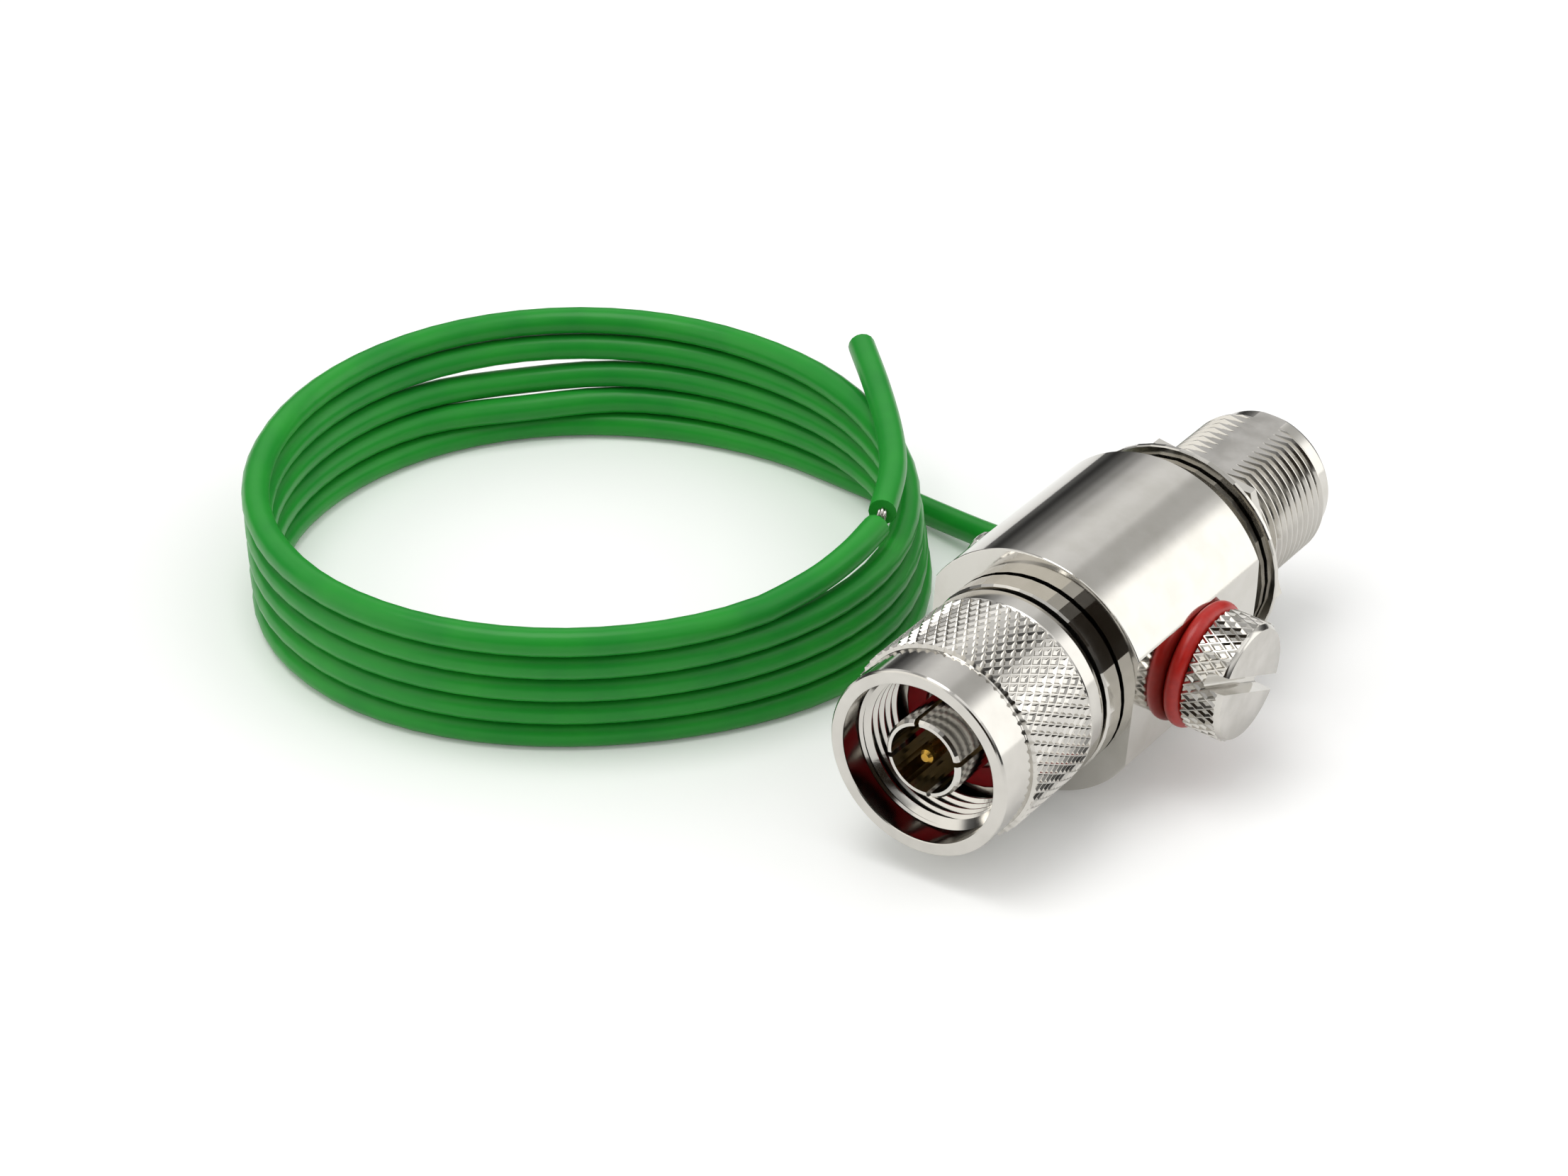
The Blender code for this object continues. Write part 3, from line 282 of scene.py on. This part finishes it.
# Coupling nut
# Turned brass with bright nickel plate, a rolled diamond knurl round it and a thread inside its mouth.
# The knurl is one pit, copied along the band and round it, with the ridges left between the pits.
def knurled_band(name, crest, first, last, rows, columns, depth):
    """Roll a diamond knurl round a band that runs between two stations."""
    length = (last - first) / rows
    half = math.pi / columns
    side = crest * math.sin(half)
    middle = (first + length / 2, 0, crest)
    bpy.ops.object.select_all(action="DESELECT")
    bpy.ops.mesh.primitive_circle_add(vertices=4, radius=1, fill_type="NGON", location=middle)
    band = bpy.context.object
    band.name = name
    bpy.ops.object.transform_apply(location=True, rotation=True, scale=True)
    edit(band)
    bpy.ops.transform.resize(value=(length / 2, side, 1), center_override=middle)
    pick(band, lambda spot: abs(spot.y) > side / 2)
    bpy.ops.transform.translate(value=(0, 0, crest * (math.cos(half) - 1)))
    bpy.ops.mesh.select_all(action="SELECT")
    slope = length / 2 * side / math.hypot(length / 2, side)
    bpy.ops.mesh.inset(thickness=slope * 0.1, depth=0)
    bpy.ops.mesh.inset(thickness=slope * 0.45, depth=-depth)
    bpy.ops.mesh.select_all(action="SELECT")
    bpy.ops.mesh.duplicate_move(TRANSFORM_OT_translate={"value": (-length / 2, 0, 0)})
    bpy.ops.transform.rotate(value=half, orient_axis="X", center_override=(0, 0, 0))
    bpy.ops.object.mode_set(mode="OBJECT")
    apply_modifier(band, "ARRAY", count=rows + 1, use_relative_offset=False, use_constant_offset=True,
                   constant_offset_displace=(length, 0, 0))
    edit(band)
    bpy.ops.mesh.spin(steps=columns - 1, angle=2 * half * (columns - 1), center=(0, 0, 0), axis=(1, 0, 0),
                      dupli=True)
    bpy.ops.mesh.select_all(action="SELECT")
    bpy.ops.mesh.remove_doubles(threshold=0.01)
    bpy.ops.mesh.bisect(plane_co=(first, 0, 0), plane_no=(1, 0, 0), clear_inner=True)
    bpy.ops.mesh.select_all(action="SELECT")
    bpy.ops.mesh.bisect(plane_co=(last, 0, 0), plane_no=(1, 0, 0), clear_outer=True)
    bpy.ops.object.mode_set(mode="OBJECT")
    return band


def join_band(piece, band, seams):
    """Join a knurled band to a turned piece and bridge the open rims at both of its seams."""
    bpy.ops.object.select_all(action="DESELECT")
    band.select_set(True)
    piece.select_set(True)
    bpy.context.view_layer.objects.active = piece
    bpy.ops.object.join()
    edit(piece)
    for low, high, radius in seams:
        pick(piece, lambda spot: low - 0.01 < spot.x < high + 0.01 and math.hypot(spot.y, spot.z) > radius)
        bpy.ops.mesh.bridge_edge_loops()
    bpy.ops.mesh.select_all(action="SELECT")
    bpy.ops.mesh.normals_make_consistent(inside=False)
    bpy.ops.object.mode_set(mode="OBJECT")


nut = turn_on_lathe("knurled_coupling_nut", [
    (9.62, 4.6), (9.58, 4.42), (9.58, 0.3), (9.5, 0.1), (9.36, 0.0), (8.3, 0.0), (8.2, 0.05), (8.18, 0.14),
    (8.18, 2.7), (7.35, 3.4), (7.35, 8.1), (8.1, 8.5), (8.1, 10.6), (7.6, 10.6), (7.6, 11.7), (8.1, 11.7),
    (8.1, 13.1), (7.3, 13.1), (7.3, 16.7), (9.55, 16.7), (9.78, 16.62), (9.98, 16.3), (10.05, 15.9),
    (10.08, 14.25), (10.02, 14.12),
], 300)
knurl = knurled_band("nut_knurl", 10.16, 4.72, 14.0, 5, 60, 0.2)
join_band(nut, knurl, [(4.6, 4.72, 9.4), (14.0, 14.12, 9.4)])
cut_with(nut, thread_tool(7.25, 7.96, 2.3, 6, THREAD_PITCH))
# The nut's plate is a warm white mirror like the body's, a little deeper in tone.
nut.data.materials.clear()
nut.data.materials.append(plated_metal("nut_nickel", "#c9c6c0", "#c2bfb9", 0.1, 0.03, depth=0.0005))
set_in_place(nut)
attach(nut, "coupling_nut")
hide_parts("coupling_nut")


# Plug inside the coupling nut
# A slotted bronze shell and a gold-plated pin, a ring of spring steel, a red rubber gasket and an
# insulator. They are turned or moulded pieces whose solids already have their shapes.
def finish(node, material):
    """Give a solid of the frame the finish of the real piece."""
    piece = frame["nodes"][node]
    piece.data.materials.clear()
    piece.data.materials.append(material)


def moulded(name, bright, dull, roughness, grain=900, depth=0.003, **sockets):
    """Moulded rubber or plastic: one colour with faint clouds. Its grain is in marks per metre."""
    material, tree, surface = start_material(name, roughness, **sockets)
    place = add_node(tree, "ShaderNodeTexCoord").outputs["Object"]
    sized = add_node(tree, "ShaderNodeMapping", {"Vector": place, "Scale": (grain,) * 3}).outputs["Vector"]
    cloud = add_node(tree, "ShaderNodeTexNoise",
                     {"Vector": sized, "Scale": 1.0, "Detail": 3.0}).outputs["Fac"]
    tint = add_node(tree, "ShaderNodeValToRGB", {"Fac": cloud}, [(0.3, linear(dull)), (0.7, linear(bright))])
    tree.links.new(tint.outputs["Color"], surface.inputs["Base Color"])
    bump = add_node(tree, "ShaderNodeBump", {"Height": cloud, "Distance": depth * 0.001, "Strength": 0.6})
    tree.links.new(bump.outputs["Normal"], surface.inputs["Normal"])
    return material


# The shell's nickel is satin, the ring's steel grey and matt, and the pin's gold soft and yellow. The gasket
# is a deep wine red, and the insulator, far down in the shell, a dark honey brown.
finish("plug_shell", bright_nickel("shell_nickel", 0.12, 0.0015))
finish("nut_snap_ring", plated_metal("ring_spring_steel", "#b0ada6", "#9c9890", 0.3, 0.1))
finish("plug_pin", plated_metal("pin_gold", "#c59c48", "#a88234", 0.22, 0.08))
finish("plug_gasket", moulded("gasket_rubber", "#b8141d", "#a50f18", 0.38))
finish("plug_insulator", moulded("plug_phenolic", "#8c7440", "#7d6636", 0.4))


# Line inside the body and jack
# A gold-plated rod joins the pin to a slotted socket, and white moulded plastic holds the socket.
# The gold is pale and bright on both, and the plastic is a soft white.
finish("centre_rod", plated_metal("rod_gold", "#dcb35a", "#c79d46", 0.2, 0.06))
finish("jack_socket", plated_metal("socket_gold", "#dcb35a", "#c79d46", 0.2, 0.06))
finish("jack_insulator", moulded("jack_white_plastic", "#ece9e2", "#dedad2", 0.4))


# Washers and panel nut
# Pressed steel washers and a hexagon nut of brass, all with nickel plate that is duller than the body's.
# The toothed lock washer's steel is the greyest of them.
finish("flat_washer", bright_nickel("washer_nickel", 0.12))
finish("lock_washer", plated_metal("lock_washer_steel", "#b3b0a8", "#a09c94", 0.22, 0.08))
finish("hex_nut", bright_nickel("hexagon_nickel", 0.15))


# Gas tube cap
# Turned and slotted brass with nickel plate. It has a short knurl like the nut's, a finer thread, and a
# face left matt by the blasting before the plate.
CAP_FACE = 17.32
SLOT_WIDTH = 1.66
SLOT_DEPTH = 2.1
TOWARD_CAMERA = math.radians(-90)

cap = turn_on_lathe("gas_tube_cap", [
    (5.6, 13.05), (4.5, 13.05), (4.5, 8.75), (4.2, 8.45), (3.3, 8.45), (3.3, 11.05), (0, 11.05),
], 185)
top = turn_on_lathe("cap_top", [
    (5.94, 16.79), (5.9, 16.9), (5.72, 17.18), (5.62, 17.28), (5.5, CAP_FACE), (0, CAP_FACE),
], 185)
bpy.ops.object.select_all(action="DESELECT")
top.select_set(True)
cap.select_set(True)
bpy.context.view_layer.objects.active = cap
bpy.ops.object.join()
knurl = knurled_band("cap_knurl", 6.06, 13.2, 16.74, 2, 37, 0.2)
join_band(cap, knurl, [(13.05, 13.2, 5.4), (16.74, 16.79, 5.4)])
cut_with(cap, thread_tool(4.56, 4.08, 8.0, 6, 0.75))
bpy.ops.mesh.primitive_cube_add(size=1, location=(CAP_FACE - SLOT_DEPTH + 2, 0, 0), scale=(4, 16, SLOT_WIDTH))
slot = bpy.context.object
bpy.ops.object.transform_apply(location=True, rotation=True, scale=True)
edit(slot)
pick(slot, lambda spot: spot.x < 17)
bpy.ops.mesh.bevel(offset=0.42, segments=6, affect="EDGES")
bpy.ops.object.mode_set(mode="OBJECT")
slot.rotation_euler.x = math.radians(-25)
cut_with(cap, slot)
# The sides shine like the body, and the face is a pale, even grey.
cap.data.materials.clear()
cap.data.materials.append(bright_nickel("cap_nickel", 0.12))
cap.data.materials.append(plated_metal("blasted_nickel", "#c9c6c1", "#b9b6b0", 0.3, 0.08,
                                       (3000, 3000, 3000), 0.0015))
for face in cap.data.polygons:
    face.material_index = 1 if face.center.x > 17.25 else 0
set_in_place(cap, TOWARD_CAMERA, CAP_X)
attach(cap, "cap")
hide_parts("cap")


# Cap seal
# A ring of orange-red silicone rubber, pressed flat between the cap and the body. Its surface is smooth and
# half glossy, and a little light passes into it.
bpy.ops.object.select_all(action="DESELECT")
bpy.ops.mesh.primitive_torus_add(location=(12.13, 0, 0), rotation=(0, math.radians(90), 0), major_radius=5.5,
                                 minor_radius=0.93, major_segments=128, minor_segments=24)
seal = bpy.context.object
seal.name = "cap_seal"
bpy.ops.object.transform_apply(location=True, rotation=True, scale=True)
edit(seal)
for low, high, station in ((0, 11.3, 11.25), (12.96, 20, 13.01)):
    pick(seal, lambda spot: low < spot.x < high)
    bpy.ops.transform.resize(value=(0, 1, 1), center_override=(station, 0, 0))
bpy.ops.object.mode_set(mode="OBJECT")
seal.data.materials.clear()
seal.data.materials.append(moulded("silicone_rubber", "#ba1f14", "#a9130b", 0.34, 1500, 0.004,
                                   Subsurface_Weight=0.2, Subsurface_Scale=0.0008))
set_in_place(seal, TOWARD_CAMERA, CAP_X)
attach(seal, "cap_seal")
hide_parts("cap_o_ring")


# Gas tube and its spring
# A glazed ceramic ring between two tinned electrodes, pressed home by a steel spring under the cap.
# The glaze is a shiny cream white, the tin pale and satin, and the spring's steel grey.
finish("gas_tube_ceramic", moulded("glazed_ceramic", "#f0ece4", "#e4e0d6", 0.2, 600, 0.0, Coat_Weight=0.4))
finish("gas_tube_inner_electrode", plated_metal("inner_electrode_tin", "#cbc9c4", "#b8b5ae", 0.22, 0.08))
finish("gas_tube_outer_electrode", plated_metal("outer_electrode_tin", "#cbc9c4", "#b8b5ae", 0.22, 0.08))
finish("contact_spring", plated_metal("contact_spring_steel", "#b0ada6", "#9c9890", 0.2, 0.08))


# Ground screw, its washer and the terminal
# A plated steel screw and a toothed washer clamp a tinned copper terminal to the body's far flat.
# The screw is bright, the washer grey, and the terminal's tin pale and satin.
finish("ground_screw", bright_nickel("screw_nickel", 0.13))
finish("ground_lock_washer", plated_metal("ground_washer_steel", "#b3b0a8", "#a09c94", 0.22, 0.08))
finish("ring_terminal", plated_metal("terminal_tin", "#cbc9c4", "#b8b5ae", 0.24, 0.1))


# Ground wire
# Stranded copper in green PVC. It leaves the terminal's crimp, runs down to the floor, winds up into a
# coil of five layers and ends above it. The coil leans and bulges a little, as a hand-wound one does.
WIRE_RADIUS = 1.42
COIL_START = math.radians(-13)
COIL_STOP = math.radians(249 + 4 * 360)
COIL_LAYERS = 5
CLIMB_START = math.radians(277)
CLIMB_STOP = math.radians(347)
BULGE_AT = math.radians(305)
LOOSE_AT = math.radians(50)
LOOSE_SAG = 0.7
LOOSE_STEP_IN = 1.1
# Centre, mean radius, its waves of two and three to a turn, and the bulge, for the lowest and highest layer
COIL_FOOT = ((26.33, 56.11), 32.41, (-0.51, -1.5, -0.59, 0.21), -1.5)
COIL_TOP = ((25.35, 57.75), 32.54, (-0.04, 0.34, -0.21, 0.25), 0.9)
LEAD = [(41.41, 13.53, 9.24), (43.64, 13.63, 8.11), (47.2, 14.6, 6.3), (50.6, 18.2, 4.3), (53.2, 26.3, 2.6),
        (55.4, 34.6, 1.6)]
FREE_END = [(18.24, 25.92, 13.05), (22.6, 25.33, 13.2), (27.61, 25.33, 13.4), (32.53, 25.98, 13.5)]
CUT_PIECE = [(33.81, 26.12, 14.6), (40.66, 29.43, 14.9), (46.42, 33.53, 15.2), (53.2, 39.5, 15.5),
             (59.8, 45.9, 15.8)]


def in_frame(spot):
    """A spot given in millimetres along, across and above the floor, in the frame's metres."""
    return Vector((spot[0] - LENGTH / 2, spot[1], spot[2])) * 0.001 + Vector((0, AXIS.y, 0))


def coil_point(angle):
    """Middle of the wire at an angle along the coil."""
    lap = math.floor((angle - COIL_START) / math.tau + 1e-9)
    within = angle - lap * math.tau
    climb = min(max((within - CLIMB_START) / (CLIMB_STOP - CLIMB_START), 0.0), 1.0)
    layer = lap + climb * climb * (3 - 2 * climb)
    spots = []
    for centre, radius, (cosine2, sine2, cosine3, sine3), bulge in (COIL_FOOT, COIL_TOP):
        reach = radius + cosine2 * math.cos(2 * angle) + sine2 * math.sin(2 * angle)
        reach += cosine3 * math.cos(3 * angle) + sine3 * math.sin(3 * angle)
        reach += bulge * max(0.0, math.cos(angle - BULGE_AT)) ** 8
        spots.append(Vector((centre[0] + reach * math.cos(angle), centre[1] + reach * math.sin(angle), 0)))
    spot = spots[0].lerp(spots[1], layer / (COIL_LAYERS - 1))
    # At the back the second layer lies inside the first, so the third hangs clear of the fourth.
    loose = max(0.0, math.cos(angle - LOOSE_AT)) ** 26
    sunk = loose * LOOSE_SAG * max(0.0, min(layer / 2, 3 - layer))
    inward = loose * LOOSE_STEP_IN * max(0.0, 1 - abs(layer - 1))
    spot -= Vector((math.cos(angle), math.sin(angle), 0)) * inward
    spot.z = WIRE_RADIUS * (1 + 2 * layer) - sunk
    return spot


def smooth_route(route, spacing):
    """Evenly spaced spots on a smooth curve through a route's spots."""
    route = [Vector(spot) for spot in route]
    ends = [2 * route[0] - route[1], *route, 2 * route[-1] - route[-2]]
    fine = []
    for before, start, stop, after in zip(ends, ends[1:], ends[2:], ends[3:]):
        for step in range(24):
            s = step / 24
            fine.append(0.5 * (2 * start + (stop - before) * s
                               + (2 * before - 5 * start + 4 * stop - after) * s ** 2
                               + (3 * start - before - 3 * stop + after) * s ** 3))
    fine.append(route[-1])
    total = sum((b - a).length for a, b in zip(fine, fine[1:]))
    count = max(2, round(total / spacing))
    spots = [fine[0]]
    run = 0.0
    for a, b in zip(fine, fine[1:]):
        length = (b - a).length
        while len(spots) < count and run + length >= total * len(spots) / count:
            spots.append(a.lerp(b, (total * len(spots) / count - run) / length))
        run += length
    spots.append(fine[-1])
    return spots


def round_wire(name, spots, material, radius, sides):
    """Round wire along spots, as one open curve with closed ends."""
    curve = bpy.data.curves.new(name, "CURVE")
    curve.dimensions = "3D"
    curve.bevel_depth = radius * 0.001
    curve.bevel_resolution = sides
    curve.use_fill_caps = True
    spline = curve.splines.new("POLY")
    spline.points.add(len(spots) - 1)
    for target, spot in zip(spline.points, spots):
        target.co = (*in_frame(spot), 1.0)
    spline.use_smooth = True
    curve.materials.append(material)
    wire = bpy.data.objects.new(name, curve)
    bpy.context.scene.collection.objects.link(wire)
    return wire


# The PVC is a full green with soft highlights, and its tone drifts a little along the wire.
insulation = moulded("green_pvc", "#279830", "#1c882e", 0.32, 120, 0.004, Specular_IOR_Level=0.25)
first = coil_point(COIL_START)
way = (coil_point(COIL_START + 0.05) - first).normalized()
wire_spots = smooth_route([*LEAD, first - way * 7.0, first], 2.2)
coil_steps = round((COIL_STOP - COIL_START) / math.tau * 64)
coil_step = (COIL_STOP - COIL_START) / coil_steps
wire_spots += [coil_point(COIL_START + coil_step * index) for index in range(1, coil_steps)]
last = coil_point(COIL_STOP)
before_last = coil_point(COIL_STOP - 0.08)
end_spots = smooth_route([before_last, last, *FREE_END], 1.1)
wire_spots += [spot for spot in end_spots if (spot - before_last).length > (last - before_last).length]
ground_wire = round_wire("ground_wire", wire_spots, insulation, WIRE_RADIUS, 5)
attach(ground_wire, "connector")
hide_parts("wire_tail", "wire_coil", "wire_end")


# Stripped end
# The insulation is cut through and its last piece is pulled a little way along seven tinned strands.
# The tin is pale and bright.
STRANDS = 7
STRAND_RADIUS = 0.17
STRAND_RING = 0.36
STRAND_TWIST = 0.5

cut_piece = round_wire("cut_insulation", smooth_route(CUT_PIECE, 1.4), insulation, WIRE_RADIUS, 6)
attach(cut_piece, "connector")
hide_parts("insulation_slug")
tinned = plated_metal("tinned_copper", "#cfcdc8", "#b9b6b0", 0.2, 0.1)
tip = Vector(FREE_END[-1])
tip_way = (tip - Vector(FREE_END[-2])).normalized()
piece_start = Vector(CUT_PIECE[0])
piece_way = (Vector(CUT_PIECE[1]) - piece_start).normalized()
across = tip_way.cross(Vector((0, 0, 1))).normalized()
upward = across.cross(tip_way).normalized()
strands = []
for index in range(STRANDS):
    turn = math.tau * index / (STRANDS - 1)
    reach = 0.0 if index == STRANDS - 1 else STRAND_RING
    leaving = (across * math.cos(turn) + upward * math.sin(turn)) * reach
    twisted = (across * math.cos(turn + STRAND_TWIST) + upward * math.sin(turn + STRAND_TWIST)) * reach
    route = [tip - tip_way * 0.4 + leaving, tip + tip_way * 0.4 + leaving,
             piece_start - piece_way * 0.4 + twisted, piece_start + piece_way * 0.5 + twisted]
    strands.append(round_wire("strand_%d" % (index + 1), smooth_route(route, 0.3), tinned, STRAND_RADIUS, 2))
for strand in strands:
    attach(strand, "connector")
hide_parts("bare_strands")


# Floor
# A sheet of white card. It ends behind the picture, so low reflections in the metal fall on the dark room.
bpy.ops.object.select_all(action="DESELECT")
bpy.ops.mesh.primitive_plane_add(size=0.72, location=(0, 0, -0.00002))
floor = bpy.context.object
floor.name = "floor"
card = moulded("white_card", "#fbfbfa", "#f9f9f8", 0.5, 8, 0.0)
# The card is a little lighter to the eye and in the metal, and it still takes the object's shadow.
path = add_node(card.node_tree, "ShaderNodeLightPath").outputs
seen = add_node(card.node_tree, "ShaderNodeMath", {0: path["Is Camera Ray"], 1: path["Is Glossy Ray"]},
                operation="MAXIMUM")
lift = add_node(card.node_tree, "ShaderNodeMath", {0: seen.outputs["Value"], 1: 0.11}, operation="MULTIPLY")
surface = card.node_tree.nodes["Principled BSDF"]
surface.inputs["Emission Color"].default_value = (1, 1, 1, 1)
card.node_tree.links.new(lift.outputs["Value"], surface.inputs["Emission Strength"])
floor.data.materials.append(card)


# Lamps and room
# Two soft boxes over the object. The room is white to the eye. The metal sees a pale ceiling above low dark
# walls, with a bright soft box on the right and another on the left, and a dark stand behind the camera.
LAMPS = (("key", (-0.12, 0.10, 0.66), 0.4, 1.8), ("fill", (0.12, -0.30, 0.62), 0.42, 0.4))

scene = bpy.context.scene
scene.view_settings.view_transform = "Standard"
for name, spot, size, power in LAMPS:
    bpy.ops.object.light_add(type="AREA", location=spot)
    lamp = bpy.context.object
    lamp.name = name
    lamp.rotation_euler = (Vector((0, 0.02, 0)) - Vector(spot)).to_track_quat("-Z", "Y").to_euler()
    lamp.data.shape = "SQUARE"
    lamp.data.size = size
    lamp.data.energy = power

room = bpy.data.worlds.new("room")
scene.world = room
room.use_nodes = True
tree = room.node_tree
tree.nodes.clear()


def greys(levels):
    """A ramp's steps from pairs of a position and a grey level."""
    return [(position, (level, level, level, 1)) for position, level in levels]


def panel(light, bearing, edge, core, heights, shade):
    """Hang a panel of light or dark in the room. It fades from core to edge, in degrees off its bearing."""
    side = (math.cos(math.radians(bearing)), math.sin(math.radians(bearing)), 0)
    near = add_node(tree, "ShaderNodeVectorMath", {0: level_view, 1: side}, operation="DOT_PRODUCT")
    widths = greys([(math.cos(math.radians(edge)), 0), (math.cos(math.radians(core)), 1)])
    across = add_node(tree, "ShaderNodeValToRGB", {"Fac": near.outputs["Value"]}, widths, "EASE")
    upward = add_node(tree, "ShaderNodeValToRGB", {"Fac": height}, greys(heights), "EASE")
    share = add_node(tree, "ShaderNodeMath", {0: across.outputs["Color"], 1: upward.outputs["Color"]},
                     operation="MULTIPLY")
    mixed = add_node(tree, "ShaderNodeMix", {0: share.outputs["Value"], 6: light, 7: shade}, data_type="RGBA")
    return mixed.outputs[2]


view = add_node(tree, "ShaderNodeTexCoord").outputs["Generated"]
height = add_node(tree, "ShaderNodeSeparateXYZ", {"Vector": view}).outputs["Z"]
flat_view = add_node(tree, "ShaderNodeVectorMath", {0: view, 1: (1, 1, 0)}, operation="MULTIPLY")
level_view = add_node(tree, "ShaderNodeVectorMath", {0: flat_view.outputs["Vector"]},
                      operation="NORMALIZE").outputs["Vector"]
walls = greys([(0.0, 0.12), (0.1, 0.04), (0.24, 0.13), (0.36, 0.34), (0.47, 0.7), (0.6, 1.0), (0.72, 0.8),
               (0.85, 0.5)])
light = add_node(tree, "ShaderNodeValToRGB", {"Fac": height}, walls, "EASE").outputs["Color"]
light = panel(light, -9, 15, 5, [(0.5, 0), (0.6, 1), (0.8, 1), (0.9, 0)], (0.62, 0.62, 0.61, 1))
light = panel(light, -50, 28, 20, [(0.56, 1), (0.68, 0)], (1.8, 1.8, 1.78, 1))
light = panel(light, 145, 30, 22, [(0.0, 0.8), (0.2, 1), (0.7, 1), (0.8, 0)], (1.35, 1.33, 1.28, 1))
light = panel(light, -150, 22, 14, [(0.0, 0.8), (0.15, 1), (0.66, 1), (0.74, 0)], linear("#2a231b"))
to_camera = add_node(tree, "ShaderNodeLightPath").outputs["Is Camera Ray"]
seen = add_node(tree, "ShaderNodeMix", {0: to_camera, 6: light, 7: (1, 1, 1, 1)}, data_type="RGBA")
background = add_node(tree, "ShaderNodeBackground", {"Color": seen.outputs[2], "Strength": 1.0})
add_node(tree, "ShaderNodeOutputWorld", {"Surface": background.outputs["Background"]}, is_active_output=True)

bpy.context.view_layer.update()
